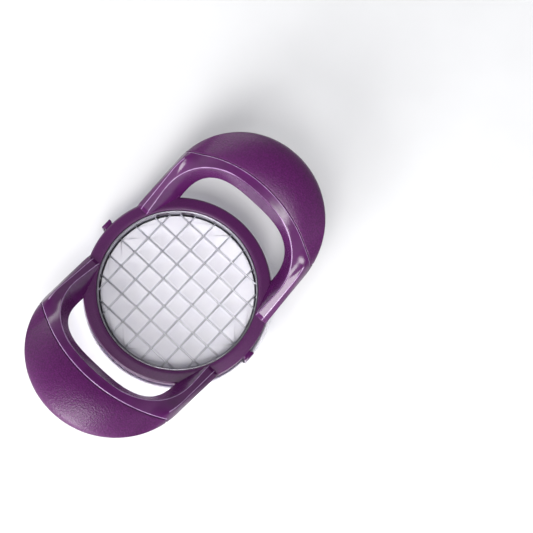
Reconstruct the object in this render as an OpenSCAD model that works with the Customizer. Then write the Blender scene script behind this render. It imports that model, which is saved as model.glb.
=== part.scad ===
// Press-down vegetable dicer: a round blade grid in a ring with two raised
// loop handles, standing on a clear base whose square pegs fill the cells.
// +X runs from one handle to the other, +Z is up, and the origin is the
// middle of the base's underside.

/* [Blade grid] */
// Distance between neighbouring blades, which is the size of a diced cube
pitch = 11; // [10.5:0.1:11.2]
// Thickness of a blade strip
blade_t = 0.4; // [0.4:0.1:0.8]
// Height of a blade strip
blade_h = 10; // [8:0.5:10]
// Length of the ground bevel along a blade's lower edge
bevel_h = 1.4; // [1:0.2:2]

/* [Ring] */
// Radius of the ring's bore at its top edge
bore_r = 44.7; // [44.6:0.1:45.2]
// Outer radius of the ring
ring_r = 52; // [51.6:0.1:52.2]
// Height of the ring's top above the blades' upper edges
throat_h = 10; // [8:0.5:11]
// Thickness of the steel band inside the bore
band_t = 0.8; // [0.6:0.1:1]
// Reach of a blade's end beyond the bore, into its groove in the ring
blade_grip = 1.6; // [1.2:0.1:2]

/* [Handles] */
// Distance from the middle to a handle's outer end
handle_reach = 93.9; // [90:0.1:96]
// Half of a handle's width at its widest
handle_half_w = 47.1; // [45:0.1:48]
// Distance from the middle to the finger opening's far top edge
inner_reach = 63.6; // [60:0.1:66]
// Half width of the finger opening at its top edge
inner_half_w = 42; // [41:0.1:43]
// Thickness of a handle from its top to its underside
grip_h = 14.5; // [12:0.5:15]
// Height of an arm's top above the blades where it leaves the ring
arm_root_rise = 13; // [12.5:0.5:14]
// Slope of an arm at its root, as rise over run
arm_slope = 0.627; // [0.5:0.01:0.65]
// Extra height of the handle's crown over its inner top edge
crown_rise = 2.6; // [1:0.1:4]

/* [Grip pads] */
// Thickness of the soft pad moulded round each handle
pad_t = 2; // [1.5:0.1:2.5]
// Radius of the bowed line where a pad begins
pad_line_r = 91; // [85:1:100]
// Distance from the middle to the pad line on the centre line
pad_line_x = 68.4; // [66:0.1:70]
// Width of the parting line between a pad and its handle
pad_gap = 0.3; // [0.2:0.05:0.5]

/* [Lugs] */
// Width of each alignment lug's T-shaped head
lug_w = 6.3; // [5:0.1:7]
// Distance from the middle to a lug's outer face
lug_reach = 54.9; // [54.6:0.1:56]

/* [Base] */
// Thickness of the base's floor
floor_t = 3; // [2.5:0.1:3.2]
// Outer radius of the base
base_r = 54.4; // [54.2:0.1:54.6]
// Height of the base's rim
rim_h = 9; // [7:0.5:11]
// Height of the peg tops over the blades' upper edges at rest; below them if negative
peg_rise = 0; // [-1:0.1:3]
// Gap between a peg and the blades beside it
peg_gap = 0.2; // [0.2:0.05:0.8]
// Wall of the hollow pegs
peg_wall = 1.4; // [1.2:0.1:1.8]

/* [Hidden] */
$fn = 96;

// Levels above the table
seat_gap = 0.4;
ring_z0 = floor_t + seat_gap;
retainer_h = 2;
blade_z0 = ring_z0 + retainer_h + 0.1;
blade_z1 = blade_z0 + blade_h;
ring_z1 = blade_z1 + throat_h;
peg_z1 = blade_z1 + peg_rise;

// Grid
last = 3;
side = [-last : last];
cut = 0.1;
blade_end_r = bore_r + blade_grip;
groove_t = blade_t + 0.3;
groove_r = blade_end_r + 0.3;
lap_w = blade_t + 0.1;

// Band, retaining ring and its screws
band_fit = 0.1;
band_r = bore_r - band_fit;
band_z0 = ring_z0 + retainer_h + 0.1;
band_z1 = ring_z1 - 0.8;
window_angles = [35.8, 54.2];
window_w = 7.8;
window_h = 5.6;
window_z = blade_z1 + 4;
retainer_r = 50;
retainer_bore = 44;
screw_ring_r = 47.6;
screw_turn = 21;
screw_r = 1.1;
screw_head_r = 1.8;
screw_head_h = 1.2;
screw_l = 8;
pilot_r = 1.0;

// Arm and handle levels; an arm starts in a short sloping step on the ring
arm_x0 = 17.9;
arm_x1 = 20.6;
arm_curve = 0.0043;
arm_sink = 0.5;
rim_root_rise = 9;
rim_climb = 34;
rim_bend = 1.45;
inner_wall_h = 13.5;

// Plan curves: [root y, side y, x where the bend starts, tip x, squareness]
top_edge = [41.3, inner_half_w, 33, inner_reach, 2.3];
rim_edge = [48.6, handle_half_w, 48.4, handle_reach, 2];
low_edge = [35.2, 34.3, 37.4, inner_reach - 3.5, 3];
bend_share = 0.68;
pad_end = 0.588;
pad_end_gap = 0.003;
pad_fit = 0.2;
pad_share_max = 0.93;
pad_steps = 9;
rim_steps = 5;
pad_stations = [for (i = [0 : pad_steps]) pad_end * i / pad_steps];
arm_stations = [pad_end + 2 * pad_end_gap, 0.68, 0.78, 0.88, 0.96, 1];

// Roundness of a section's outer part, as [share where it starts, squareness]:
// round on the grip, and a flat top with an edge and a straight side on the arms
grip_round = [0.5, 2.4];
arm_round = [0.62, 1.15];
arm_shape_start = 0.42;
arm_shape_run = 0.16;
crown_least = -0.1;

// Height of an arm's side over the rim, and how softly its top is held to it
arm_side_h = 4;
arm_side_blend = 2;

module purple() { color([0.38, 0.10, 0.38]) children(); }
module soft_purple() { color([0.47, 0.20, 0.47]) children(); }
module steel() { color([0.72, 0.74, 0.77]) children(); }
module frosted() { color([0.86, 0.88, 0.94, 0.7]) children(); }

// ---- Loop handle -------------------------------------------------------

// Plan position at station s, from -1 at one arm's root to 1 at the other's
function plan(s, e) =
    let (a = abs(s) / bend_share, q = (abs(s) - bend_share) / (1 - bend_share), w = s < 0 ? -1 : 1)
    a <= 1
    ? [e[2] + (e[3] - e[2]) * pow(cos(90 * a), 2 / e[4]), w * e[1] * pow(sin(90 * a), 2 / e[4])]
    : [e[2] + (arm_x0 - e[2]) * q, w * (e[1] + (e[0] - e[1]) * q)];

function root_level() = ring_z1 - arm_sink;
function top_level(x) = x < arm_x1 - 1
    ? root_level()
    : blade_z1 + arm_root_rise + arm_slope * (x - arm_x1) + arm_curve * pow(x - arm_x1, 2);
function rim_level(x) =
    let (share = (x - arm_x0) / (handle_reach + 0.1 - arm_x0))
    x < arm_x1 - 1
    ? root_level() - 2
    : blade_z1 + rim_root_rise + rim_climb * (1 - pow(1 - share, rim_bend));
function crown(s) = max(crown_least, 1 - pow(abs(s) / bend_share, 2));
function crest_level(s) = top_level(plan(s, top_edge)[0]) + crown_rise * crown(s);
function between(p, q, f) = p + (q - p) * f;
function soft_min(a, b) = (a + b - norm([a - b, arm_side_blend])) / 2;

// 0 on the grip and 1 on the arms
function arm_share(s) = min(1, max(0, (abs(s) - arm_shape_start) / arm_shape_run));

// Share of the way from edge e to the rim at which the bowed pad line is met
function pad_share(s, e) =
    let (
        p = plan(s, e) - [pad_line_x - pad_line_r, 0],
        d = plan(s, rim_edge) - plan(s, e),
        b = p * d,
        n = (sqrt(b * b - (d * d) * (p * p - pad_line_r * pad_line_r)) - b) / (d * d)
    )
    min(n, pad_share_max);

// Height share of the surface: 1 on a section's flat, falling to 0 at the widest line
function rim_fall(s, n, up) =
    let (
        shape = between(grip_round, arm_round, up > 0 ? arm_share(s) : 0),
        t = max(0, (n - shape[0]) / (1 - shape[0]))
    )
    pow(1 - pow(t, shape[1]), 1 / shape[1]);

// A point of the loop's surface at station s, a share n of the way from edge e
// to the rim, sunk by depth d; up is 1 for the top and -1 for the underside. An
// arm's top is level across it, and stands at most arm_side_h above the rim
function skin_point(s, n, d, e, up) =
    let (
        edge = plan(s, e),
        rim = plan(s, rim_edge),
        start = pad_share(s, e),
        sunk = n - max(0, n - start) / (1 - start) * d / norm(rim - edge),
        at = between(edge, rim, sunk),
        crest = crest_level(s),
        z_rim = rim_level(rim[0]),
        z_edge = up > 0 ? top_level(edge[0]) : top_level(plan(s, top_edge)[0]) - inner_wall_h,
        z_flat = up > 0 ? crest : crest - grip_h,
        z_crest = between(z_edge, z_flat, sin(180 * min(n, 0.5))),
        z_arm = soft_min(top_level(between(edge, rim, n)[0]), z_rim + arm_side_h),
        z_top = between(z_crest, z_arm, up > 0 ? arm_share(s) : 0),
        fall = rim_fall(s, n, up)
    )
    [at[0], at[1], between(z_rim, z_top, fall) - up * d * fall];

// The skin from the pad line over the rim and back underneath to the pad line
function rim_skin(s, d, gap) =
    let (
        run = norm(plan(s, rim_edge) - plan(s, top_edge)),
        nt = pad_share(s, top_edge) + gap / run,
        nl = pad_share(s, low_edge) + gap / run
    )
    concat(
        [for (i = [0 : rim_steps])
            skin_point(s, between(nt, 1, sin(90 * i / rim_steps)), d, top_edge, 1)],
        [for (i = [rim_steps - 1 : -1 : 0])
            skin_point(s, between(nl, 1, sin(90 * i / rim_steps)), d, low_edge, -1)]
    );

// A section of the handle's core, its skin sunk by d beyond the pad line; on the
// arms the two parts of the skin stop short of each other, so no points coincide
function handle_section(s, d) =
    let (
        reach = d > 0 ? 1 : 0.95,
        nt = pad_share(s, top_edge) * reach,
        nl = pad_share(s, low_edge) * reach
    )
    concat(
        [for (i = [0 : 3]) skin_point(s, nt * i / 3, 0, top_edge, 1)],
        rim_skin(s, d, 0),
        [for (i = [2 : -1 : 0]) skin_point(s, nl * i / 2, 0, low_edge, -1)]
    );

function pad_section(s) =
    let (inner = rim_skin(s, pad_t - pad_fit, pad_gap))
    concat(rim_skin(s, 0, pad_gap), [for (i = [len(inner) - 1 : -1 : 0]) inner[i]]);

// A closed skin through a row of sections with equal numbers of points; every
// four-sided patch is split at its middle, so facing skins bend the same way
module lofted(sections) {
    k = len(sections[0]);
    last_row = len(sections) - 1;
    corners = [for (row = sections) each row];
    patches = [for (i = [0 : last_row - 1], j = [0 : k - 1])
        [i * k + j, (i + 1) * k + j, (i + 1) * k + (j + 1) % k, i * k + (j + 1) % k]];
    middles = [for (p = patches)
        (corners[p[0]] + corners[p[1]] + corners[p[2]] + corners[p[3]]) / 4];
    skin = [for (n = [0 : len(patches) - 1], m = [0 : 3])
        [patches[n][m], patches[n][(m + 1) % 4], len(corners) + n]];
    caps = [[for (j = [0 : k - 1]) j], [for (j = [k - 1 : -1 : 0]) last_row * k + j]];
    polyhedron(concat(corners, middles), concat(skin, caps), convexity = 6);
}

function mirrored(half) = concat([for (i = [len(half) - 1 : -1 : 1]) -half[i]], half);

module handle_core() {
    stations = concat(pad_stations, [pad_end + pad_end_gap], arm_stations);
    lofted([for (s = mirrored(stations))
        handle_section(s, abs(s) <= pad_end + pad_end_gap ? pad_t : 0)]);
}

module grip_pad() {
    lofted([for (s = mirrored(pad_stations)) pad_section(s)]);
}

// ---- Frame ---------------------------------------------------------------

module ring_body() {
    edge = 1.2;
    rotate_extrude()
        polygon([
            [bore_r - 3, ring_z0], [ring_r - edge, ring_z0], [ring_r, ring_z0 + edge],
            [ring_r, ring_z1 - 2 * edge], [ring_r - edge, ring_z1 - edge / 2],
            [bore_r + 2, ring_z1], [bore_r - 3, ring_z1]
        ]);
}

// An alignment lug: a T in plan that drops into the notch of the base's rim
module lug() {
    head_t = 1.6;
    lug_z1 = blade_z1 + 7.6;
    neck_w = lug_w - 1.2;
    translate([-lug_w / 2, lug_reach - head_t, ring_z0])
        cube([lug_w, head_t, lug_z1 - ring_z0]);
    translate([-neck_w / 2, ring_r - 2, ring_z0])
        cube([neck_w, lug_reach - ring_r + 2 - head_t / 2, lug_z1 - ring_z0]);
}

// Cuts for every blade's ends, open towards the underside
module blade_grooves() {
    for (i = side) {
        l = 2 * sqrt(pow(groove_r, 2) - pow(i * pitch, 2));
        translate([-l / 2, i * pitch - groove_t / 2, ring_z0 - cut])
            cube([l, groove_t, blade_z1 - ring_z0 + cut + 0.2]);
        translate([i * pitch - groove_t / 2, -l / 2, ring_z0 - cut])
            cube([groove_t, l, blade_z1 - ring_z0 + cut + 0.2]);
    }
}

module at_screws() {
    for (i = [0 : 3])
        rotate(screw_turn + 90 * i)
            translate([screw_ring_r, 0, 0])
                children();
}

module frame() {
    purple()
    difference() {
        union() {
            ring_body();
            handle_core();
            mirror([1, 0, 0]) handle_core();
            lug();
            mirror([0, 1, 0]) lug();
        }
        translate([0, 0, ring_z0 - 1])
            cylinder(r = bore_r, h = 40, $fn = 180);
        translate([0, 0, ring_z0 - 1])
            cylinder(r = retainer_r + 0.1, h = 1 + retainer_h + 0.05, $fn = 180);
        blade_grooves();
        at_screws()
            translate([0, 0, ring_z0])
                cylinder(r = pilot_r, h = screw_l + 1, $fn = 24);
    }
}

module grip_pad_right() {
    soft_purple() grip_pad();
}

module grip_pad_left() {
    soft_purple() mirror([1, 0, 0]) grip_pad();
}

// ---- Blades and what holds them ------------------------------------------

module blade_strip(l) {
    // A strip along X with its cutting edge down
    translate([-l / 2, 0, 0])
        rotate([90, 0, 90])
            linear_extrude(height = l)
                polygon([
                    [0, blade_z0], [blade_t / 2, blade_z0 + bevel_h], [blade_t / 2, blade_z1],
                    [-blade_t / 2, blade_z1], [-blade_t / 2, blade_z0 + bevel_h]
                ]);
}

module half_laps(from_top) {
    half = (blade_z0 + blade_z1) / 2;
    z0 = from_top ? half - 0.05 : blade_z0 - cut;
    z1 = from_top ? blade_z1 + cut : half + 0.05;
    for (i = side)
        translate([i * pitch - lap_w / 2, -blade_t, z0])
            cube([lap_w, 2 * blade_t, z1 - z0]);
}

module blade(i, from_top) {
    l = 2 * sqrt(pow(blade_end_r, 2) - pow(i * pitch, 2));
    steel()
    translate([0, i * pitch, 0])
        difference() {
            blade_strip(l);
            half_laps(from_top);
        }
}

module long_blade(i) { blade(i, true); }
module cross_blade(i) { rotate(90) blade(-i, false); }

module window_cut() {
    r = window_h / 2;
    for (y = [-1, 1] * (window_w / 2 - r))
        translate([bore_r - 4, y, window_z])
            rotate([0, 90, 0])
                cylinder(r = r, h = 8, $fn = 48);
    translate([bore_r - 4, r - window_w / 2, window_z - r])
        cube([8, window_w - 2 * r, window_h]);
}

module blade_band() {
    steel()
    difference() {
        translate([0, 0, band_z0])
            cylinder(r = band_r, h = band_z1 - band_z0, $fn = 180);
        translate([0, 0, band_z0 - 1])
            cylinder(r = band_r - band_t, h = band_z1 - band_z0 + 2, $fn = 180);
        blade_grooves();
        for (q = [0 : 3], a = window_angles)
            rotate(90 * q + a)
                window_cut();
    }
}

module retaining_ring() {
    purple()
    difference() {
        translate([0, 0, ring_z0])
            cylinder(r = retainer_r, h = retainer_h, $fn = 180);
        translate([0, 0, ring_z0 - 1])
            cylinder(r = retainer_bore, h = retainer_h + 2, $fn = 180);
        at_screws() {
            translate([0, 0, ring_z0 - 1])
                cylinder(r = screw_r + 0.15, h = retainer_h + 2, $fn = 24);
            translate([0, 0, ring_z0 - 1])
                cylinder(r = screw_head_r + 0.15, h = 1 + screw_head_h, $fn = 32);
        }
    }
}

module clamp_screws() {
    steel()
    at_screws() {
        difference() {
            translate([0, 0, ring_z0 + 0.1])
                cylinder(r = screw_head_r, h = screw_head_h - 0.15, $fn = 32);
            for (a = [0, 90])
                rotate(a)
                    translate([-1.3, -0.25, ring_z0])
                        cube([2.6, 0.5, 0.6]);
        }
        translate([0, 0, ring_z0 + 0.8])
            cylinder(r = pilot_r - 0.05, h = screw_l - 0.8, $fn = 24);
    }
}

// ---- Base ------------------------------------------------------------------

module pegs(gap, z0, z1, r) {
    w = pitch - blade_t - 2 * gap;
    intersection() {
        for (i = [-last - 1 : last], j = [-last - 1 : last])
            if (norm([min(abs(i), abs(i + 1)), min(abs(j), abs(j + 1))]) * pitch < r - 2)
                translate([(i + 0.5) * pitch - w / 2, (j + 0.5) * pitch - w / 2, z0])
                    cube([w, w, z1 - z0]);
        translate([0, 0, z0 - 1])
            cylinder(r = r, h = z1 - z0 + 2, $fn = 180);
    }
}

module peg_base() {
    foot_r = 50;
    foot_h = 1;
    rim_r = base_r - 1.8;
    notch_w = lug_w + 1.2;
    peg_r = band_r - band_t - 0.8;
    frosted()
    difference() {
        union() {
            difference() {
                cylinder(r = base_r, h = rim_h, $fn = 180);
                translate([0, 0, floor_t])
                    cylinder(r = rim_r, h = rim_h, $fn = 180);
            }
            pegs(peg_gap, floor_t - 1, peg_z1, peg_r);
        }
        translate([0, 0, -1])
            cylinder(r = foot_r, h = 1 + foot_h, $fn = 180);
        translate([-notch_w / 2, -base_r - 1, floor_t])
            cube([notch_w, 2 * base_r + 2, rim_h]);
        pegs(peg_gap + peg_wall, foot_h - 1, peg_z1 - peg_wall, peg_r - peg_wall);
    }
}

peg_base();
frame();
grip_pad_left();
grip_pad_right();
blade_band();
retaining_ring();
clamp_screws();
long_blade(-3);  // long_blade_1
long_blade(-2);  // long_blade_2
long_blade(-1);  // long_blade_3
long_blade(0);  // long_blade_4
long_blade(1);  // long_blade_5
long_blade(2);  // long_blade_6
long_blade(3);  // long_blade_7
cross_blade(-3);  // cross_blade_1
cross_blade(-2);  // cross_blade_2
cross_blade(-1);  // cross_blade_3
cross_blade(0);  // cross_blade_4
cross_blade(1);  // cross_blade_5
cross_blade(2);  // cross_blade_6
cross_blade(3);  // cross_blade_7
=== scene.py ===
"""The looks of a press-down vegetable dicer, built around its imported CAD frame.

Shapes are worked out in millimetres in the CAD's own axes, with +X from handle to handle and +Z up, and
become metres where a mesh is made. The handles repeat the formulas of the CAD's loop handle, sampled more
finely and with their edges rounded; levels and radii come from the boxes of the CAD nodes.
"""

from math import copysign, cos, pi, radians, sin, sqrt

import bmesh
import bpy
from mathutils import Matrix, Vector


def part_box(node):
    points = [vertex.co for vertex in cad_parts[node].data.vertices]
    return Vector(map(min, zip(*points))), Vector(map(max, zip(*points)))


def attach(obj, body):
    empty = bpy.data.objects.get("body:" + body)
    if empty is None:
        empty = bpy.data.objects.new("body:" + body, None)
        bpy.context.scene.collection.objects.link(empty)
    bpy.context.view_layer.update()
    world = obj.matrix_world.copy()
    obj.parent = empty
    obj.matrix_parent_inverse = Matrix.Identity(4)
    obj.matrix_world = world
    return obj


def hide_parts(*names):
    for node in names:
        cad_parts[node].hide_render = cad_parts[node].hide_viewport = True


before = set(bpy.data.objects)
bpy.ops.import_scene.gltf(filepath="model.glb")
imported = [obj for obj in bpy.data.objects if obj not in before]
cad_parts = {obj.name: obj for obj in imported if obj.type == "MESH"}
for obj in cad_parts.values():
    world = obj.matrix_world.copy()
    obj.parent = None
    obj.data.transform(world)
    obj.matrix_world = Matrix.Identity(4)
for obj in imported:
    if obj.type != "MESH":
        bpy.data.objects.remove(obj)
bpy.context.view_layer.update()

MM = 0.001
TURN = 2 * pi


def node_low(node):
    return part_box(node)[0] / MM


def node_high(node):
    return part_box(node)[1] / MM


# ---- Sizes ---------------------------------------------------------------------------------------

# Levels and radii of the CAD nodes
BLADE_Z0 = node_low("long_blade_4").z
BLADE_Z1 = node_high("long_blade_4").z
BLADE_END_R = node_high("long_blade_4").x
PITCH = (node_high("long_blade_5") - node_high("long_blade_4")).y
BLADE_T = (node_high("long_blade_4") - node_low("long_blade_4")).y
RING_Z0 = node_low("frame").z
BAND_R = node_high("blade_band").x
BAND_Z0 = node_low("blade_band").z
BAND_Z1 = node_high("blade_band").z
RETAINER_R = node_high("retaining_ring").x
RETAINER_Z1 = node_high("retaining_ring").z
LUG_REACH = node_high("frame").y
BASE_R = node_high("peg_base").x
PEG_Z1 = node_high("peg_base").z
HANDLE_REACH = node_high("grip_pad_right").x

# The ring
BORE_R = BAND_R + 0.1
RING_R = 52.0
RING_Z1 = BLADE_Z1 + 10.0
BAND_T = 0.8
GRID_LAST = 3
GROOVE_T = BLADE_T + 0.3
GROOVE_R = BLADE_END_R + 0.3
LUG_W = 6.3

# The loop handles: each plan curve is [root y, side y, x where the bend starts, tip x, squareness]
INNER_REACH = 63.6
TOP_EDGE = (41.3, 42.0, 33.0, INNER_REACH, 2.3)
RIM_EDGE = (48.6, 47.1, 48.4, HANDLE_REACH, 2.0)
LOW_EDGE = (35.2, 34.3, 37.4, INNER_REACH - 3.5, 3.0)
BEND_SHARE = 0.68
ARM_X0 = 17.9
ARM_X1 = 20.6
ARM_ROOT_RISE = 13.0
ARM_SLOPE = 0.627
ARM_CURVE = 0.0043
ROOT_LEVEL = RING_Z1 - 0.5
RIM_ROOT_RISE = 9.0
RIM_CLIMB = 34.0
RIM_BEND = 1.45
CROWN_RISE = 2.6
GRIP_H = 14.5
INNER_WALL_H = 13.5
GRIP_FALL = (0.5, 2.4)
ARM_FALL = (0.62, 1.15)
ARM_SHAPE_START = 0.42
ARM_SHAPE_RUN = 0.16
ARM_SIDE_H = 4.0
ARM_SIDE_BLEND = 2.0
CROWN_LEAST = -0.1

# The grip pads
PAD_T = 2.0
PAD_GAP = 0.3
PAD_END = 0.588
PAD_END_GAP = 0.003
PAD_LINE_R = 91.0
PAD_LINE_X = 68.4
PAD_SHARE_MAX = 0.93

# Blade band windows, the retaining ring and the screws under it
WINDOW_ANGLES = (35.8, 54.2)
WINDOW_W = 7.8
WINDOW_H = 5.6
WINDOW_Z = BLADE_Z1 + 4.0
RETAINER_BORE = 44.0
SCREW_RING_R = 47.6
SCREW_ANGLES = (21, 111, 201, 291)
SCREW_SIDES = 32
SCREW_HEAD_R = 1.8
SCREW_HEAD_H = 1.05
SCREW_DOME_H = 0.55
SCREW_L = 8.0
THREAD_R = (0.72, 0.95)
THREAD_PITCH = 0.3

# Sides of the large rounds, and points less one in a softened corner
ROUND_STEPS = 256
CORNER_STEPS = 4


# ---- Mesh helpers --------------------------------------------------------------------------------

def mesh_object(name, points, faces, marks=None, materials=()):
    """A new object from points in millimetres, its faces turned outwards and marked by material index."""
    mesh = bpy.data.meshes.new(name)
    mesh.from_pydata([Vector(p) * MM for p in points], [], faces)
    for material in materials:
        mesh.materials.append(material)
    if marks:
        mesh.polygons.foreach_set("material_index", marks)
    bm = bmesh.new()
    bm.from_mesh(mesh)
    bmesh.ops.remove_doubles(bm, verts=bm.verts, dist=1e-7)
    bmesh.ops.recalc_face_normals(bm, faces=bm.faces)
    bm.to_mesh(mesh)
    bm.free()
    obj = bpy.data.objects.new(name, mesh)
    bpy.context.scene.collection.objects.link(obj)
    return obj


def apply_modifiers(obj):
    """Makes the modifiers' result the object's own mesh."""
    depsgraph = bpy.context.evaluated_depsgraph_get()
    mesh = bpy.data.meshes.new_from_object(obj.evaluated_get(depsgraph))
    old = obj.data
    obj.modifiers.clear()
    obj.data = mesh
    bpy.data.meshes.remove(old)


def combine(obj, tool, operation):
    """One exact Boolean with a tool that is used up."""
    modifier = obj.modifiers.new(operation.lower(), "BOOLEAN")
    modifier.operation = operation
    modifier.solver = "EXACT"
    modifier.object = tool
    apply_modifiers(obj)
    bpy.data.objects.remove(tool)


def tidy_mesh(obj, merge=0.02):
    """Joins points closer than `merge` millimetres, which Booleans leave along their cuts."""
    bm = bmesh.new()
    bm.from_mesh(obj.data)
    bmesh.ops.remove_doubles(bm, verts=bm.verts, dist=merge * MM)
    bmesh.ops.dissolve_degenerate(bm, edges=bm.edges, dist=merge * MM / 4)
    bmesh.ops.recalc_face_normals(bm, faces=bm.faces)
    bm.to_mesh(obj.data)
    bm.free()


def shade(obj, angle=35):
    """Smooth shading that keeps edges sharper than `angle` degrees."""
    obj.data.polygons.foreach_set("use_smooth", [True] * len(obj.data.polygons))
    obj.data.set_sharp_from_angle(angle=radians(angle))


def dress(obj, material, body):
    """Gives a piece its material and the body that it rides on."""
    obj.data.materials.clear()
    obj.data.materials.append(material)
    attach(obj, body)
    return obj


def loft(rows, start=0):
    """A closed skin through rows of equally many points, with a cap at each end."""
    k = len(rows[0])
    points = [p for row in rows for p in row]
    faces = []
    for i in range(len(rows) - 1):
        low, high = start + i * k, start + (i + 1) * k
        faces += [(low + j, high + j, high + (j + 1) % k, low + (j + 1) % k) for j in range(k)]
    last = start + (len(rows) - 1) * k
    caps = [tuple(range(start, start + k)), tuple(range(last, last + k))]
    return points, faces + caps


def lofts(solids):
    """Several lofts as the points and faces of one mesh."""
    points, faces = [], []
    for rows in solids:
        p, f = loft(rows, len(points))
        points += p
        faces += f
    return points, faces


def lathe(profile, steps, angle0=0.0):
    """A closed profile of (radius, height) points turned round Z; points on the axis merge in the mesh."""
    k = len(profile)
    points = []
    for i in range(steps):
        c, s = cos(TURN * i / steps + angle0), sin(TURN * i / steps + angle0)
        points += [(r * c, r * s, z) for r, z in profile]
    faces = []
    for i in range(steps):
        a, b = i * k, (i + 1) % steps * k
        for j in range(k):
            n = (j + 1) % k
            if profile[j][0] > 0 or profile[n][0] > 0:
                faces.append((a + j, b + j, b + n, a + n))
    return points, faces


def rounded(outline, radius, steps=5, least_turn=20):
    """The outline with an arc in place of each corner that turns more than `least_turn` degrees."""
    outline = [Vector(p) for p in outline]
    radii = [radius] * len(outline) if isinstance(radius, (int, float)) else radius
    result = []
    for i, corner in enumerate(outline):
        to_before, to_after = outline[i - 1] - corner, outline[(i + 1) % len(outline)] - corner
        half = to_before.angle(to_after) / 2
        if radii[i] == 0 or pi - 2 * half < radians(least_turn):
            result.append(corner)
            continue
        r = min(radii[i], 0.45 * min(to_before.length, to_after.length) * sin(half) / cos(half))
        middle = corner + (to_before.normalized() + to_after.normalized()).normalized() * r / sin(half)
        first = corner + to_before.normalized() * r * cos(half) / sin(half) - middle
        last = corner + to_after.normalized() * r * cos(half) / sin(half) - middle
        sweep = first.angle(last)
        for k in range(steps + 1):
            t = k / steps
            arm = (first * sin((1 - t) * sweep) + last * sin(t * sweep)) / sin(sweep)
            result.append(middle + arm)
    return result


def box_rows(x0, x1, y0, y1, z0, z1):
    """An upright box as the two rows of a loft."""
    outline = [(x0, y0), (x1, y0), (x1, y1), (x0, y1)]
    return [[(x, y, z) for x, y in outline] for z in (z0, z1)]


def turned(points, degrees):
    """Points turned round Z."""
    c, s = cos(radians(degrees)), sin(radians(degrees))
    return [(x * c - y * s, x * s + y * c, z) for x, y, z in points]


def turned_rows(rows, degrees):
    return [turned(row, degrees) for row in rows]


# ---- Materials -----------------------------------------------------------------------------------

# A noise's values lie mostly between these
NOISE_LOW, NOISE_HIGH = 0.3, 0.7


class Finish:
    """A Principled material with helpers for its procedural detail."""

    def __init__(self, name, **sockets):
        self.material = bpy.data.materials.new(name)
        self.material.use_nodes = True
        self.nodes = self.material.node_tree.nodes
        self.links = self.material.node_tree.links
        self.shader = self.nodes["Principled BSDF"]
        self.place = self.nodes.new("ShaderNodeTexCoord").outputs["Object"]
        for socket, value in sockets.items():
            self.shader.inputs[socket.replace("_", " ")].default_value = value

    def noise(self, size, detail=3.0, stretch=(1, 1, 1)):
        """Noise with features about `size` millimetres across; stretch makes them longer along an axis."""
        mapping = self.nodes.new("ShaderNodeMapping")
        mapping.inputs["Scale"].default_value = [1 / s for s in stretch]
        self.links.new(self.place, mapping.inputs["Vector"])
        texture = self.nodes.new("ShaderNodeTexNoise")
        texture.inputs["Scale"].default_value = 1 / (size * MM)
        texture.inputs["Detail"].default_value = detail
        texture.inputs["Roughness"].default_value = 0.55
        self.links.new(mapping.outputs["Vector"], texture.inputs["Vector"])
        return texture.outputs["Fac"]

    def cells(self, size):
        """Distance from the middle of small cells about `size` millimetres across, for moulded grain."""
        texture = self.nodes.new("ShaderNodeTexVoronoi")
        texture.inputs["Scale"].default_value = 1 / (size * MM)
        self.links.new(self.place, texture.inputs["Vector"])
        return texture.outputs["Distance"]

    def spread(self, value, low, high):
        """Maps a noise's values onto the range low to high."""
        node = self.nodes.new("ShaderNodeMapRange")
        node.inputs["From Min"].default_value = NOISE_LOW
        node.inputs["From Max"].default_value = NOISE_HIGH
        node.inputs["To Min"].default_value = low
        node.inputs["To Max"].default_value = high
        self.links.new(value, node.inputs["Value"])
        return node.outputs["Result"]

    def tint(self, value, dark, light):
        """Colours between dark and light by a noise's values."""
        ramp = self.nodes.new("ShaderNodeValToRGB")
        ramp.color_ramp.elements[0].position = NOISE_LOW
        ramp.color_ramp.elements[0].color = (*dark, 1)
        ramp.color_ramp.elements[1].position = NOISE_HIGH
        ramp.color_ramp.elements[1].color = (*light, 1)
        self.links.new(value, ramp.inputs["Fac"])
        self.links.new(ramp.outputs["Color"], self.shader.inputs["Base Color"])

    def roughness(self, value, low, high):
        self.links.new(self.spread(value, low, high), self.shader.inputs["Roughness"])

    def bump(self, height, depth):
        """Relief of `depth` millimetres; a second call adds to the first."""
        node = self.nodes.new("ShaderNodeBump")
        node.inputs["Strength"].default_value = 1.0
        node.inputs["Distance"].default_value = depth * MM
        self.links.new(height, node.inputs["Height"])
        socket = self.shader.inputs["Normal"]
        if socket.is_linked:
            self.links.new(socket.links[0].from_socket, node.inputs["Normal"])
        self.links.new(node.outputs["Normal"], socket)


def gloss_purple():
    """Glossy moulded plastic of the arms, with the faint orange peel of a moulding."""
    f = Finish("gloss_purple_plastic", IOR=1.5)
    f.tint(f.noise(9, 2), (0.054, 0.005, 0.057), (0.074, 0.007, 0.078))
    f.roughness(f.noise(2.5, 2), 0.17, 0.23)
    f.bump(f.noise(1.6, 1.5), 0.002)
    return f.material


def painted_highlight_purple():
    """Painted highlight: the paler line along the moulding's edges, coloured in place of the light that they
    catch.
    """
    f = Finish("painted_highlight_purple_edge", IOR=1.5)
    # Painted highlight colour: a paler purple in place of the light caught along the edges
    f.tint(f.noise(3, 3), (0.22, 0.11, 0.25), (0.36, 0.22, 0.40))
    f.roughness(f.noise(1.5, 2), 0.16, 0.26)
    f.bump(f.noise(0.9, 2), 0.010)
    return f.material


def grain_purple():
    """Spark-eroded satin plastic of the ring."""
    f = Finish("satin_purple_plastic", IOR=1.5)
    f.tint(f.noise(0.7, 3), (0.046, 0.003, 0.048), (0.070, 0.005, 0.072))
    f.roughness(f.noise(0.9, 3), 0.34, 0.46)
    f.bump(f.cells(0.35), 0.020)
    return f.material


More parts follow.
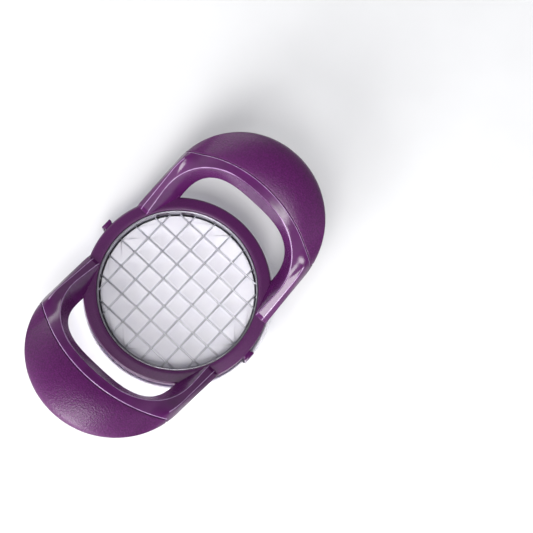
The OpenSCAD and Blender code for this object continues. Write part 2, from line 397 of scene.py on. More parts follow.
def pad_purple():
    """Soft grained grip rubber."""
    f = Finish("grained_grip_rubber", IOR=1.42)
    f.shader.inputs["Sheen Weight"].default_value = 0.05
    f.shader.inputs["Sheen Roughness"].default_value = 0.25
    f.shader.inputs["Sheen Tint"].default_value = (0.85, 0.78, 0.92, 1)
    f.tint(f.noise(0.9, 3), (0.046, 0.003, 0.048), (0.084, 0.006, 0.086))
    f.roughness(f.noise(0.8, 3), 0.30, 0.42)
    f.bump(f.cells(0.8), 0.10)
    return f.material


def band_steel():
    """Steel strip with the drawn lines of rolling round the band."""
    f = Finish("rolled_band_steel", Metallic=1.0)
    f.tint(f.noise(3.0, 4, stretch=(1, 1, 0.08)), (0.26, 0.25, 0.28), (0.42, 0.41, 0.45))
    f.roughness(f.noise(1.2, 4, stretch=(3, 3, 0.15)), 0.26, 0.40)
    f.bump(f.noise(0.5, 2, stretch=(8, 8, 0.5)), 0.004)
    return f.material


def blade_steel():
    """Ground stainless strip: fine scratches across the blade's height."""
    f = Finish("ground_blade_steel", Metallic=1.0)
    f.tint(f.noise(4.0, 3), (0.74, 0.74, 0.80), (0.88, 0.88, 0.94))
    f.roughness(f.noise(1.0, 3, stretch=(0.2, 0.2, 4)), 0.38, 0.52)
    f.bump(f.noise(0.25, 2, stretch=(1, 1, 12)), 0.003)
    return f.material


def screw_steel():
    """Zinc-plated screw steel."""
    f = Finish("plated_screw_steel", Metallic=1.0)
    f.tint(f.noise(0.8, 3), (0.50, 0.50, 0.50), (0.68, 0.68, 0.66))
    f.roughness(f.noise(0.4, 3), 0.25, 0.42)
    f.bump(f.noise(0.2, 2), 0.004)
    return f.material


def frosted_plastic():
    """Frosted clear plastic of the base and its pegs."""
    f = Finish("frosted_clear_plastic", IOR=1.49)
    f.shader.inputs["Transmission Weight"].default_value = 0.12
    f.shader.inputs["Subsurface Weight"].default_value = 1.0
    f.shader.inputs["Subsurface Radius"].default_value = (1.0, 1.0, 1.0)
    f.shader.inputs["Subsurface Scale"].default_value = 2 * MM
    f.tint(f.noise(6, 3), (0.85, 0.83, 0.98), (0.88, 0.86, 1.0))
    f.roughness(f.noise(3, 2), 0.34, 0.42)
    f.bump(f.noise(1.2, 2), 0.002)
    return f.material


# ---- Loop handles --------------------------------------------------------------------------------

def plan(s, edge):
    """Plan position on one of the plan curves at station s, from -1 at one arm's root to 1 at the other's."""
    root_y, side_y, bend_x, tip_x, square = edge
    side = copysign(1, s)
    a = abs(s) / BEND_SHARE
    if a <= 1:
        x = bend_x + (tip_x - bend_x) * max(0.0, cos(pi / 2 * a)) ** (2 / square)
        return Vector((x, side * side_y * sin(pi / 2 * a) ** (2 / square)))
    q = (abs(s) - BEND_SHARE) / (1 - BEND_SHARE)
    return Vector((bend_x + (ARM_X0 - bend_x) * q, side * (side_y + (root_y - side_y) * q)))


def stepped(x, root, line):
    """The short sloping step on the ring in which an arm starts."""
    t = min(1.0, max(0.0, (x - ARM_X0) / (ARM_X1 - ARM_X0)))
    return root + (line - root) * t


def top_level(x):
    run = x - ARM_X1
    return stepped(x, ROOT_LEVEL, BLADE_Z1 + ARM_ROOT_RISE + ARM_SLOPE * run + ARM_CURVE * run * run)


def rim_level(x):
    share = (x - ARM_X0) / (HANDLE_REACH + 0.1 - ARM_X0)
    line = BLADE_Z1 + RIM_ROOT_RISE + RIM_CLIMB * (1 - max(0.0, 1 - share) ** RIM_BEND)
    return stepped(x, ROOT_LEVEL - 2, line)


def crest_level(s):
    crown = max(CROWN_LEAST, 1 - (s / BEND_SHARE) ** 2)
    return top_level(plan(s, TOP_EDGE).x) + CROWN_RISE * crown


def pad_share(s, edge):
    """Share of the way from an edge to the rim at which the bowed pad line is met."""
    p = plan(s, edge) - Vector((PAD_LINE_X - PAD_LINE_R, 0))
    d = plan(s, RIM_EDGE) - plan(s, edge)
    b = p.dot(d)
    inside = b * b - d.dot(d) * (p.dot(p) - PAD_LINE_R ** 2)
    n = (sqrt(max(0.0, inside)) - b) / d.dot(d)
    return min(n, PAD_SHARE_MAX)


def soft_min(a, b):
    """The smaller of two levels, blended where they are close."""
    return (a + b - sqrt((a - b) ** 2 + ARM_SIDE_BLEND ** 2)) / 2


def arm_share(s):
    """0 on the grip and 1 on the arms."""
    return min(1.0, max(0.0, (abs(s) - ARM_SHAPE_START) / ARM_SHAPE_RUN))


def fall_shape(s):
    """Where the flat of the top ends at station s, and how square the fall beyond it is."""
    return [g + (a - g) * arm_share(s) for g, a in zip(GRIP_FALL, ARM_FALL)]


def rim_fall(s, n, up):
    """Roundness of the rim: 1 on the flat, falling to 0 at the widest line. On an arm's top the flat ends in
    a crease and the side below it is nearly straight; on the grip and underneath it is round."""
    start, square = fall_shape(s) if up > 0 else GRIP_FALL
    t = max(0.0, (n - start) / (1 - start))
    return max(0.0, 1 - t ** square) ** (1 / square)


def skin_point(s, n, d, edge, up):
    """A point of the loop's surface, a share n of the way from an edge to the rim, sunk by depth d.
    An arm's top is level across it, and stands at most ARM_SIDE_H above the rim."""
    inner, rim = plan(s, edge), plan(s, RIM_EDGE)
    start = pad_share(s, edge)
    sunk = n - max(0.0, n - start) / (1 - start) * d / (rim - inner).length
    at = inner.lerp(rim, sunk)
    crest = crest_level(s)
    z_edge = top_level(inner.x) if up > 0 else top_level(plan(s, TOP_EDGE).x) - INNER_WALL_H
    z_flat = crest if up > 0 else crest - GRIP_H
    z_rim = rim_level(rim.x)
    fall = rim_fall(s, n, up)
    z_top = z_edge + (z_flat - z_edge) * sin(pi * min(n, 0.5))
    if up > 0:
        z_arm = soft_min(top_level(inner.lerp(rim, n).x), z_rim + ARM_SIDE_H)
        z_top += (z_arm - z_top) * arm_share(s)
    z = z_rim + (z_top - z_rim) * fall
    return Vector((at.x, at.y, z - up * d * fall))


def soft_corner(corner, before, after, r):
    """A small round in place of a corner, from r before it to r after it."""
    a = corner + (before - corner).normalized() * min(r, (before - corner).length * 0.9)
    b = corner + (after - corner).normalized() * min(r, (after - corner).length * 0.9)
    shares = [k / CORNER_STEPS for k in range(CORNER_STEPS + 1)]
    return [a.lerp(corner, t).lerp(corner.lerp(b, t), t) for t in shares]


# Points round a section, and the radii of its edges
CREASE_STEPS = 5
SIDE_STEPS = 4
FLAT_STEPS = CREASE_STEPS + 1 + SIDE_STEPS
RIM_STEPS = 22
WALL_STEPS = 6
EDGE_ROUND = 0.8
LIP_ROUND = 0.6

# Shares across a section: where the inner edge's round aims, where the flat's points start, the width of the
# crease's painted highlight line, the least flat beyond the crease, the points' distance from the lip, and
# the lip's reach
EDGE_SHARE = 0.06
FIRST_SHARE = 0.07
CREASE_LINE = 0.06
CREASE_CLEAR = 0.1
LIP_CLEAR = 0.02
LIP_SHARE = 0.004


def rim_shares(start):
    """Shares from the pad line to the rim, closer together where the rim turns."""
    return [start + (1 - start) * sin(pi / 2 * i / RIM_STEPS) for i in range(RIM_STEPS + 1)]


def core_section(s, d):
    """The handle's section at station s: its skin is sunk by d where the pad covers it."""
    top_n, low_n = pad_share(s, TOP_EDGE), pad_share(s, LOW_EDGE)

    def lip(n, edge, up):
        before = skin_point(s, n - 4 * LIP_SHARE, 0, edge, up)
        corner = skin_point(s, n, 0, edge, up)
        beyond = skin_point(s, n, d, edge, up) if d > 0 else skin_point(s, n + LIP_SHARE, 0, edge, up)
        return soft_corner(corner, before, beyond, LIP_ROUND)

    def edge_round(corner, other, edge, up):
        return soft_corner(corner, other, skin_point(s, EDGE_SHARE, 0, edge, up), EDGE_ROUND)

    top_corner, low_corner = skin_point(s, 0, 0, TOP_EDGE, 1), skin_point(s, 0, 0, LOW_EDGE, -1)
    crease = min(fall_shape(s)[0], top_n - CREASE_CLEAR)
    top_shares = [FIRST_SHARE] + spaced(FIRST_SHARE, crease - CREASE_LINE, CREASE_STEPS)
    top_shares += [crease] + spaced(crease, top_n - LIP_CLEAR, SIDE_STEPS)
    low_shares = [FIRST_SHARE] + spaced(FIRST_SHARE, low_n - LIP_CLEAR, FLAT_STEPS)
    top_flat = [skin_point(s, n, 0, TOP_EDGE, 1) for n in top_shares]
    low_flat = [skin_point(s, n, 0, LOW_EDGE, -1) for n in low_shares]
    over = [skin_point(s, n, d, TOP_EDGE, 1) for n in rim_shares(top_n)]
    under = [skin_point(s, n, d, LOW_EDGE, -1) for n in rim_shares(low_n)]
    wall = [low_corner.lerp(top_corner, i / WALL_STEPS) for i in range(1, WALL_STEPS)]
    return (
        edge_round(top_corner, low_corner, TOP_EDGE, 1) + top_flat + lip(top_n, TOP_EDGE, 1) + over[1:]
        + under[-2:0:-1] + lip(low_n, LOW_EDGE, -1)[::-1] + low_flat[::-1]
        + edge_round(low_corner, top_corner, LOW_EDGE, -1)[::-1] + wall
    )


def painted_highlight_marks(stations, k):
    """Material index 2, the painted highlight, on the faces along the inner top edge, the pad line and the
    arms' outer top edge.
    """
    inner_edge = (1, 2)
    flat_start = CORNER_STEPS + 1
    crease = (flat_start + CREASE_STEPS,)
    lip_start = flat_start + FLAT_STEPS + 1
    lip = (lip_start - 1, lip_start, lip_start + 1, lip_start + 2)
    crease_from = PAD_END - 0.012
    marks = []
    for s, s_next in zip(stations, stations[1:]):
        middle = abs(s + s_next) / 2
        marked = set(inner_edge)
        if middle < PAD_END:
            marked |= set(lip)
        if middle > crease_from:
            marked |= set(crease)
        marks += [2 if j in marked else 0 for j in range(k)]
    return marks + [0, 0]


def pad_section(s, sink):
    """The C-shaped section of a grip pad, its outer skin sunk by `sink`, with rounded lips."""
    gap_top = PAD_GAP / (plan(s, RIM_EDGE) - plan(s, TOP_EDGE)).length
    top_n, low_n = pad_share(s, TOP_EDGE) + gap_top, pad_share(s, LOW_EDGE) + gap_top

    def half(n0, edge, up):
        outer = [skin_point(s, n, sink, edge, up) for n in rim_shares(n0)]
        inner = [skin_point(s, n, PAD_T, edge, up) for n in rim_shares(n0)]
        lip = soft_corner(skin_point(s, n0, sink, edge, up), inner[0], outer[1], LIP_ROUND)
        return lip + outer[2:], inner

    top_outer, top_inner = half(top_n, TOP_EDGE, 1)
    low_outer, low_inner = half(low_n, LOW_EDGE, -1)
    return top_outer + low_outer[-2::-1] + low_inner[:-1] + top_inner[::-1]


def mirrored(values):
    """Values from 0 upwards, with their negatives before them."""
    return [-v for v in values[:0:-1]] + values


def spaced(start, end, steps):
    """Evenly spaced values from start to end, without the start."""
    return [start + (end - start) * (i + 1) / steps for i in range(steps)]


PAD_STEPS = 34
CORE_END = PAD_END + PAD_END_GAP

# An arm's stretches beyond the pad, as [station at the end, steps], closest at the step on the ring
ARM_STRETCHES = ((BEND_SHARE, 7), (0.94, 14), (0.976, 18), (1.0, 3))

# The rounded end of a pad: its run in stations, steps and depth
PAD_ROUND_RUN = 0.010
PAD_ROUND_STEPS = 5
PAD_ROUND_SINK = 0.45


def handle_stations():
    stations = [0.0] + spaced(0.0, PAD_END, PAD_STEPS) + [CORE_END, PAD_END + 2 * PAD_END_GAP]
    for end, steps in ARM_STRETCHES:
        stations += spaced(stations[-1], end, steps)
    return mirrored(stations)


def handle_core_rows():
    return [core_section(s, PAD_T if abs(s) <= CORE_END else 0) for s in handle_stations()]


def grip_pad_rows():
    """The pad's rows; its outer skin rounds down over the last few stations at each end."""
    round_from = PAD_END - PAD_ROUND_RUN
    stations = [0.0] + spaced(0.0, round_from, PAD_STEPS) + spaced(round_from, PAD_END, PAD_ROUND_STEPS)
    rows = []
    for s in mirrored(stations):
        t = max(0.0, abs(s) - round_from) / PAD_ROUND_RUN
        rows.append(pad_section(s, PAD_ROUND_SINK * (1 - sqrt(max(0.0, 1 - t * t)))))
    return rows


def x_mirrored(rows):
    """The other handle's rows."""
    return [[Vector((-p.x, p.y, p.z)) for p in row] for row in rows]


# ---- The frame -----------------------------------------------------------------------------------

def quarter_angles(steps):
    """Angles from 0 to a quarter turn."""
    return [pi / 2 * i / steps for i in range(steps + 1)]


def ring_profile():
    """Half section of the ring, with a solid middle that the bore cuts away later."""
    inner = BORE_R - 3
    corner = 1.2
    shoulder = 1.0
    top_fall = 0.35
    crest_r = BORE_R + 2
    outline = [
        (inner, RING_Z0), (RING_R - corner, RING_Z0), (RING_R, RING_Z0 + corner),
        (RING_R, RING_Z1 - shoulder), (RING_R - shoulder, RING_Z1 - top_fall), (crest_r, RING_Z1),
        (inner, RING_Z1),
    ]
    return [tuple(p) for p in rounded(outline, [0, 0.6, 0.6, 1.0, 1.0, 1.5, 0], steps=4, least_turn=3)]


def bore_profile():
    """The bore's cutter, flaring at the top to round its rim."""
    flare = 0.6
    low, high = RING_Z0 - 1, RING_Z1 + 0.02
    above = high + 20
    arc = [(BORE_R + flare * (1 - cos(a)), high - flare * (1 - sin(a))) for a in quarter_angles(6)]
    return [(0, low), (BORE_R, low)] + arc + [(BORE_R + flare, above), (0, above)]


def lug_rows(side):
    """An alignment lug: a T in plan, rounded, standing on the ring's waist."""
    head_t = 1.6
    neck_w = LUG_W - 1.2
    top = BLADE_Z1 + 7.6
    outline = [
        (-neck_w / 2, RING_R - 2), (neck_w / 2, RING_R - 2), (neck_w / 2, LUG_REACH - head_t),
        (LUG_W / 2, LUG_REACH - head_t), (LUG_W / 2, LUG_REACH), (-LUG_W / 2, LUG_REACH),
        (-LUG_W / 2, LUG_REACH - head_t), (-neck_w / 2, LUG_REACH - head_t),
    ]
    outline = rounded(outline, [0, 0, 0.2, 0.3, 0.4, 0.4, 0.3, 0.2], steps=3)
    middle = Vector((0, LUG_REACH - 1.5))
    rows = []
    for z, shrink in ((RING_Z0, 0.94), (RING_Z0 + 0.3, 1), (top - 0.4, 1), (top - 0.12, 0.97), (top, 0.9)):
        rows.append([(*(middle + (p - middle) * shrink), z) for p in outline])
    return [[(x * side, y * side, z) for x, y, z in row] for row in rows]


def groove_cutters(along_y, inner_r, outer_r, z1):
    """Upright cutters for the two ends of each of one family of blades."""
    solids = []
    for i in range(-GRID_LAST, GRID_LAST + 1):
        y = i * PITCH
        near, far = sqrt(inner_r ** 2 - y * y), sqrt(outer_r ** 2 - y * y)
        for side in (-1, 1):
            x0, x1 = sorted((side * near, side * far))
            rows = box_rows(x0, x1, y - GROOVE_T / 2, y + GROOVE_T / 2, RING_Z0 - 1, z1)
            solids.append(turned_rows(rows, 90 if along_y else 0))
    return mesh_object("groove_cutters", *lofts(solids))


def cut_grooves(obj, inner_r, outer_r):
    for along_y in (False, True):
        combine(obj, groove_cutters(along_y, inner_r, outer_r, BLADE_Z1 + 0.2), "DIFFERENCE")


def build_frame(gloss, grain, edge):
    """The moulding with grained ring, glossy arms and a painted highlight of paler purple along its edges;
    the cutters' rounds start at other angles than the ring's, so that no edges coincide."""
    materials = (gloss, grain, edge)
    obj = mesh_object("frame_moulding", *lathe(ring_profile(), ROUND_STEPS), materials=materials)
    core = handle_core_rows()
    # Index 2 marks the faces that carry the painted highlight colour
    marks = painted_highlight_marks(handle_stations(), len(core[0]))
    handles = mesh_object("handles", *lofts([core, x_mirrored(core)]), marks * 2, materials)
    combine(obj, handles, "UNION")
    combine(obj, mesh_object("lugs", *lofts([lug_rows(1), lug_rows(-1)])), "UNION")
    bore_turn, rebate_turn = TURN / (2 * ROUND_STEPS), TURN / 300
    combine(obj, mesh_object("bore", *lathe(bore_profile(), ROUND_STEPS, bore_turn)), "DIFFERENCE")
    low, high, rebate_r = RING_Z0 - 1, RETAINER_Z1 + 0.05, RETAINER_R + 0.1
    rebate = [(0, low), (rebate_r, low), (rebate_r, high), (0, high)]
    combine(obj, mesh_object("rebate", *lathe(rebate, ROUND_STEPS, rebate_turn)), "DIFFERENCE")
    cut_grooves(obj, BORE_R - 2, GROOVE_R)
    tidy_mesh(obj)
    marks = [polygon.material_index for polygon in obj.data.polygons]
    dress(obj, gloss, "cutter")
    obj.data.materials.append(grain)
    obj.data.materials.append(edge)
    for polygon, mark in zip(obj.data.polygons, marks):
        centre = polygon.center / MM
        on_ring = centre.z < RING_Z1 + 0.05 and centre.xy.length < RING_R + 0.1
        polygon.material_index = 1 if on_ring else mark
    shade(obj, 40)
    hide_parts("frame")


def build_pads(material):
    rows = grip_pad_rows()
    for name, its_rows in (("grip_pad_right", rows), ("grip_pad_left", x_mirrored(rows))):
        obj = mesh_object(name.replace("grip_pad", "moulded_grip"), *loft(its_rows))
        dress(obj, material, "cutter")
        shade(obj, 40)
        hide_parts(name)


# ---- Band, retaining ring and screws -------------------------------------------------------------

def window_rows(angle):
    """A stadium-shaped cutter through the band."""
    r = WINDOW_H / 2
    flat = WINDOW_W / 2 - r
    outline = [(flat + r * sin(a), r * cos(a)) for a in (pi * i / 16 for i in range(17))]
    outline += [(-y, -z) for y, z in outline]
    return [turned([(x, y, WINDOW_Z + z) for y, z in outline], angle) for x in (BAND_R - 4, BAND_R + 4)]


def build_band(material):
    inner = BAND_R - BAND_T
    corners = [(inner, BAND_Z0), (BAND_R, BAND_Z0), (BAND_R, BAND_Z1), (inner, BAND_Z1)]
    profile = rounded(corners, 0.3, steps=4)
    obj = mesh_object("steel_band", *lathe([tuple(p) for p in profile], ROUND_STEPS))
    windows = [window_rows(90 * q + a) for q in range(4) for a in WINDOW_ANGLES]
    combine(obj, mesh_object("windows", *lofts(windows)), "DIFFERENCE")
    cut_grooves(obj, inner - 2, BAND_R + 1)
    tidy_mesh(obj)
    dress(obj, material, "cutter")
    shade(obj)
    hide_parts("blade_band")


def screw_holes(radius, low, high):
    """Upright round cutters where the screws stand."""
    circle = [(radius * cos(TURN * i / SCREW_SIDES), radius * sin(TURN * i / SCREW_SIDES))
              for i in range(SCREW_SIDES)]
    rows = [[(SCREW_RING_R + x, y, z) for x, y in circle] for z in (low, high)]
    return [turned_rows(rows, angle) for angle in SCREW_ANGLES]


def build_retainer(material):
    low, high = RING_Z0, RETAINER_Z1
    corners = [(RETAINER_BORE, low), (RETAINER_R, low), (RETAINER_R, high), (RETAINER_BORE, high)]
    profile = rounded(corners, 0.35, steps=4)
    obj = mesh_object("lower_ring", *lathe([tuple(p) for p in profile], ROUND_STEPS))
    shank_r, head_r, head_depth = 1.25, SCREW_HEAD_R + 0.15, 1.2
    for name, radius, top in (("narrow_holes", shank_r, high + 1), ("wide_holes", head_r, low + head_depth)):
        combine(obj, mesh_object(name, *lofts(screw_holes(radius, low - 1, top))), "DIFFERENCE")
    tidy_mesh(obj)
    dress(obj, material, "cutter")
    shade(obj)
    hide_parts("retaining_ring")


def build_screws(material):
    """Pan-head screws with a cross recess, heads down."""
    head_z = RING_Z0 + 0.1
    head_top = head_z + SCREW_HEAD_H
    tip = (0, RING_Z0 + SCREW_L - 0.2)
    dome = [(SCREW_HEAD_R * sin(a), head_z + SCREW_DOME_H * (1 - cos(a))) for a in quarter_angles(6)]
    thread = [(THREAD_R[i % 2], head_top + THREAD_PITCH * i) for i in range(1, 20)]
    profile = dome + [(SCREW_HEAD_R, head_top), (0.9, head_top)] + thread + [tip]
    points, faces = lathe(profile, SCREW_SIDES)
    all_points, all_faces = [], []
    for angle in SCREW_ANGLES:
        start = len(all_points)
        all_points += turned([(SCREW_RING_R + x, y, z) for x, y, z in points], angle)
        all_faces += [tuple(start + i for i in f) for f in faces]
    obj = mesh_object("pan_head_screws", all_points, all_faces)
    long, short, depth = 1.1, 0.22, 0.6
    for half_x, half_y in ((long, short), (short, long)):
        x0, x1 = SCREW_RING_R - half_x, SCREW_RING_R + half_x
        rows = box_rows(x0, x1, -half_y, half_y, head_z - 1, head_z + depth)
        recesses = [turned_rows(rows, angle) for angle in SCREW_ANGLES]
        combine(obj, mesh_object("cross_recess", *lofts(recesses)), "DIFFERENCE")
    tidy_mesh(obj)
    dress(obj, material, "cutter")
    shade(obj)
    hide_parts("clamp_screws")


# ---- Blades --------------------------------------------------------------------------------------

BEVEL_H = 1.4
BLADE_EDGE_ROUND = 0.08
BLADE_MIDDLE_Z = (BLADE_Z0 + BLADE_Z1) / 2
LAP_GAP = 0.05

# A strip's rounded end: its run, and its width and height as shares of the strip's
TIP_RUN = 0.15
TIP_SHARES = (0.5, 0.985)


def blade_section():
    """A strip's section across its thickness: ground to an edge below, rounded above."""
    t = BLADE_T / 2
    bevel_z = BLADE_Z0 + BEVEL_H
    outline = [(0, BLADE_Z0), (t, bevel_z), (t, BLADE_Z1), (-t, BLADE_Z1), (-t, bevel_z)]
    return rounded(outline, [0, 0.3, BLADE_EDGE_ROUND, BLADE_EDGE_ROUND, 0.3], steps=3, least_turn=5)


def blade_row(x, y, width_share, height_share):
    """The strip's section at x, narrowed and lowered about its middle."""
    return [(x, y + p.x * width_share, BLADE_MIDDLE_Z + (p.y - BLADE_MIDDLE_Z) * height_share)
            for p in blade_section()]


def build_blade(name, i, along_y, material):
    """One strip of a family, with half-lap slots where it crosses the other family."""
    y = i * PITCH
    half = sqrt(BLADE_END_R ** 2 - y * y)
    lap = BLADE_T / 2 + LAP_GAP
    degrees = 90 if along_y else 0
    rows = [
        blade_row(-half, y, *TIP_SHARES), blade_row(-half + TIP_RUN, y, 1, 1),
        blade_row(half - TIP_RUN, y, 1, 1), blade_row(half, y, *TIP_SHARES),
    ]
    if along_y:
        z0, z1 = BLADE_Z0 - 1, BLADE_MIDDLE_Z + LAP_GAP
    else:
        z0, z1 = BLADE_MIDDLE_Z - LAP_GAP, BLADE_Z1 + 1
    laps = []
    for j in range(-GRID_LAST, GRID_LAST + 1):
        x = j * PITCH
        laps.append(turned_rows(box_rows(x - lap, x + lap, y - BLADE_T, y + BLADE_T, z0, z1), degrees))
    obj = mesh_object("strip_" + name, *lofts([turned_rows(rows, degrees)]))
    combine(obj, mesh_object("laps", *lofts(laps)), "DIFFERENCE")
    tidy_mesh(obj, 0.002)
    dress(obj, material, "cutter")
    shade(obj)
    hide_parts(name)


def build_blades(material):
    for n in range(1, 2 * GRID_LAST + 2):
        i = n - GRID_LAST - 1
        build_blade(f"long_blade_{n}", i, False, material)
        build_blade(f"cross_blade_{n}", -i, True, material)


# ---- Peg base ------------------------------------------------------------------------------------

FLOOR_T = 3.0
FOOT_H = 1.0
FOOT_R = 50.0
RIM_H = 9.0
RIM_T = 1.8
PEG_WALL = 1.4
PEG_GAP = 0.2
PEG_LIMIT_R = BAND_R - BAND_T - 0.8
PEG_CORNER = 0.5
PEG_TOP_ROUND = 0.25
CAVITY_CORNER = 0.6
NOTCH_W = LUG_W + 1.2

# The panel sunk into a whole peg's top, as [share of the peg's width, depth] of its edge and its floor
PANEL = ((0.78, 0), (0.75, 0.08))

# Angle between the tangents that clip a peg to the circle, and how many there are each side of its middle
CLIP_ANGLE = 3
CLIP_SIDES = 9


def clip_to_circle(outline, radius):
    """The part of a convex outline inside a circle round the origin, cut by the circle's tangents."""
    middle = sum((Vector(p) for p in outline), Vector((0, 0))) / len(outline)
    direction = middle.normalized()
    for k in range(-CLIP_SIDES, CLIP_SIDES + 1):
        c, s = cos(radians(CLIP_ANGLE * k)), sin(radians(CLIP_ANGLE * k))
        normal = Vector((direction.x * c - direction.y * s, direction.x * s + direction.y * c))
        kept = []
        for i, p in enumerate(outline):
            q = outline[(i + 1) % len(outline)]
            dp, dq = p.dot(normal) - radius, q.dot(normal) - radius
            if dp <= 0:
                kept.append(p)
            if (dp < 0) != (dq < 0):
                kept.append(p.lerp(q, dp / (dp - dq)))
        outline = kept
    return outline


def inset(outline, d):
    """A convex outline, counter-clockwise, moved inwards by d."""
    result = []
    for i, p in enumerate(outline):
        a = (p - outline[i - 1]).normalized()
        b = (outline[(i + 1) % len(outline)] - p).normalized()
        normal = Vector((-a.y - b.y, a.x + b.x))
        length = normal.length
        result.append(p + normal / length * d / (length / 2))
    return result


def without_doubles(outline, least=0.05):
    """The outline without points closer than `least` to the one before."""
    return [p for i, p in enumerate(outline) if (p - outline[i - 1]).length > least]


def peg_outlines(gap, limit):
    """The square cells of the grid less a gap on each side, cut by a circle inside the band."""
    half = (PITCH - BLADE_T) / 2 - gap
    cells = range(-GRID_LAST - 1, GRID_LAST + 1)
    for i in cells:
        for j in cells:
            nearest = Vector((min(abs(i), abs(i + 1)), min(abs(j), abs(j + 1)))) * PITCH
            if nearest.length < limit - 2:
                middle = Vector((i + 0.5, j + 0.5)) * PITCH
                corners = ((-half, -half), (half, -half), (half, half), (-half, half))
                yield without_doubles(clip_to_circle([middle + Vector(c) for c in corners], limit))


def peg_rows(outline):
    """A peg with rounded corners and a rounded top edge; a whole one has a panel sunk into its top."""
    whole = len(outline) == 4
    outline = rounded(outline, PEG_CORNER, steps=4)
    rows = [[(*p, FLOOR_T - 1) for p in outline]]
    for a in quarter_angles(4):
        z = PEG_Z1 - PEG_TOP_ROUND * (1 - sin(a))
        rows.append([(*p, z) for p in inset(outline, PEG_TOP_ROUND * (1 - cos(a)))])
    if whole:
        middle = sum(outline, Vector((0, 0))) / len(outline)
        for share, sink in PANEL:
            rows.append([(*middle.lerp(p, share), PEG_Z1 - sink) for p in outline])
    return rows


def cavity_rows(outline):
    """The hollow under a peg, drafted towards its closed top."""
    outline = rounded(outline, CAVITY_CORNER, steps=4)
    middle = sum(outline, Vector((0, 0))) / len(outline)
    top = PEG_Z1 - PEG_WALL
    levels = ((FOOT_H - 1, 1.0), (top - 0.5, 0.93), (top, 0.84))
    return [[(*middle.lerp(p, share), z) for p in outline] for z, share in levels]


def base_profile():
    rim_r = BASE_R - RIM_T
    outline = [
        (0, FOOT_H), (FOOT_R, FOOT_H), (FOOT_R, 0), (BASE_R, 0), (BASE_R, RIM_H), (rim_r, RIM_H),
        (rim_r, FLOOR_T), (0, FLOOR_T),
    ]
    return [tuple(p) for p in rounded(outline, [0, 0.3, 0.6, 0.8, 0.7, 0.7, 0.8, 0], steps=5)]


def build_base(material):
    obj = mesh_object("clear_peg_base", *lathe(base_profile(), ROUND_STEPS))
    pegs = [peg_rows(outline) for outline in peg_outlines(PEG_GAP, PEG_LIMIT_R)]
    hollows = peg_outlines(PEG_GAP + PEG_WALL, PEG_LIMIT_R - PEG_WALL)
    cavities = [cavity_rows(outline) for outline in hollows]
    combine(obj, mesh_object("pegs", *lofts(pegs)), "UNION")
    combine(obj, mesh_object("cavities", *lofts(cavities)), "DIFFERENCE")
    notches = []
    above = 20
    for side in (-1, 1):
        y0, y1 = sorted((side * (BASE_R - 4), side * (BASE_R + 1)))
        notches.append(box_rows(-NOTCH_W / 2, NOTCH_W / 2, y0, y1, FLOOR_T, above))
    combine(obj, mesh_object("notches", *lofts(notches)), "DIFFERENCE")
    tidy_mesh(obj, 0.005)
    dress(obj, material, "base")
    shade(obj, 30)
    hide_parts("peg_base")


# ---- Studio --------------------------------------------------------------------------------------

def build_floor():
    size = 3.0
    mesh = bpy.data.meshes.new("floor")
    corners = [(-size, -size, 0), (size, -size, 0), (size, size, 0), (-size, size, 0)]
    mesh.from_pydata(corners, [], [(0, 1, 2, 3)])
    floor = bpy.data.objects.new("floor", mesh)
    bpy.context.scene.collection.objects.link(floor)
    f = Finish("pale_floor", Roughness=0.6)
    f.tint(f.noise(40, 2), (0.72, 0.72, 0.725), (0.74, 0.74, 0.745))
    mesh.materials.append(f.material)


def aim(obj, place, target, up_azimuth):
    """Stands obj at place, its -Z towards target, with image-up over the floor at an azimuth in degrees."""
    back = (Vector(place) - Vector(target)).normalized()
    up_hint = Vector((cos(radians(up_azimuth)), sin(radians(up_azimuth)), 0))
    right = up_hint.cross(back).normalized()
    up = back.cross(right)
    obj.matrix_world = Matrix.Translation(place) @ Matrix((right, up, back)).transposed().to_4x4()


# The camera's place and target in metres, image-up as an azimuth, and its lens
CAMERA_PLACE = (-0.0618, -0.0688, 0.7388)
CAMERA_TARGET = (0.0444, -0.0267, BLADE_Z1 * MM)
CAMERA_UP = 42.6
CAMERA_LENS = 87.8

# The sky's brightness from the ground to straight up, and its strength from the -X side to the +X side
SKY_LOW, SKY_MIDDLE, SKY_HIGH = (1.0, 1.0, 1.0, 1), (0.80, 0.81, 0.84, 1), (0.10, 0.10, 0.11, 1)
SKY_MIDDLE_AT = 0.55
SKY_SIDES = (("From Min", -0.6), ("From Max", 0.6), ("To Min", 1.35), ("To Max", 0.65))


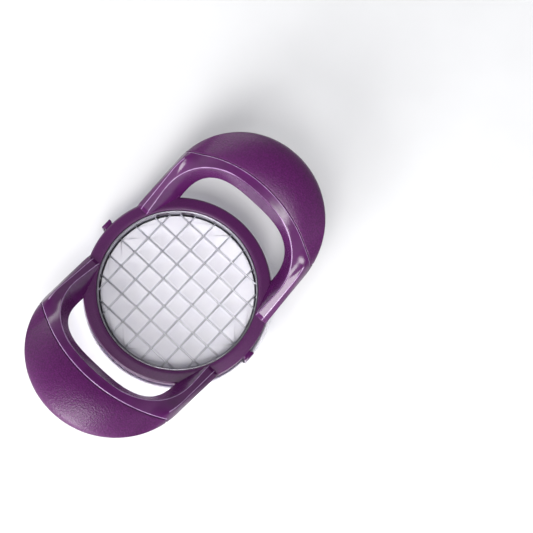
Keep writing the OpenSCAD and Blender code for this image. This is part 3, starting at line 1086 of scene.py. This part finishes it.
def build_camera():
    data = bpy.data.cameras.new("camera")
    data.lens = CAMERA_LENS
    data.sensor_width = 36.0
    camera = bpy.data.objects.new("camera", data)
    bpy.context.scene.collection.objects.link(camera)
    aim(camera, CAMERA_PLACE, CAMERA_TARGET, CAMERA_UP)
    bpy.context.scene.camera = camera


def softbox(name, azimuth, elevation, distance, width, height, power):
    """An area light in the given direction from the dicer, facing it."""
    data = bpy.data.lights.new(name, "AREA")
    data.shape = "RECTANGLE"
    data.size = width
    data.size_y = height
    data.energy = power
    light = bpy.data.objects.new(name, data)
    bpy.context.scene.collection.objects.link(light)
    a, e = radians(azimuth), radians(elevation)
    place = Vector((cos(a) * cos(e), sin(a) * cos(e), sin(e))) * distance
    target = Vector((0, 0, 0.03))
    light.location = place + target
    light.rotation_euler = place.to_track_quat("Z", "Y").to_euler()


def build_light():
    world = bpy.data.worlds.new("studio")
    world.use_nodes = True
    nodes, links = world.node_tree.nodes, world.node_tree.links
    split = nodes.new("ShaderNodeSeparateXYZ")
    links.new(nodes.new("ShaderNodeTexCoord").outputs["Generated"], split.inputs[0])
    ramp = nodes.new("ShaderNodeValToRGB")
    links.new(split.outputs["Z"], ramp.inputs["Fac"])
    ramp.color_ramp.elements[0].color = SKY_LOW
    ramp.color_ramp.elements[1].color = SKY_HIGH
    ramp.color_ramp.elements.new(SKY_MIDDLE_AT).color = SKY_MIDDLE
    background = nodes["Background"]
    links.new(ramp.outputs["Color"], background.inputs["Color"])
    side = nodes.new("ShaderNodeMapRange")
    links.new(split.outputs["X"], side.inputs["Value"])
    for socket, value in SKY_SIDES:
        side.inputs[socket].default_value = value
    links.new(side.outputs["Result"], background.inputs["Strength"])
    bpy.context.scene.world = world
    softbox("key", azimuth=192, elevation=24, distance=1.2, width=0.6, height=1.0, power=20)
    softbox("fill", azimuth=60, elevation=14, distance=1.3, width=0.9, height=0.3, power=4)
    softbox("top", azimuth=212, elevation=62, distance=1.3, width=0.5, height=0.5, power=10)
    bpy.context.scene.view_settings.view_transform = "Standard"


build_camera()
gloss, grain = gloss_purple(), grain_purple()
# The third material paints a highlight along the moulding's edges
build_frame(gloss, grain, painted_highlight_purple())
build_pads(pad_purple())
build_band(band_steel())
build_retainer(grain)
build_screws(screw_steel())
build_blades(blade_steel())
build_base(frosted_plastic())
build_floor()
build_light()
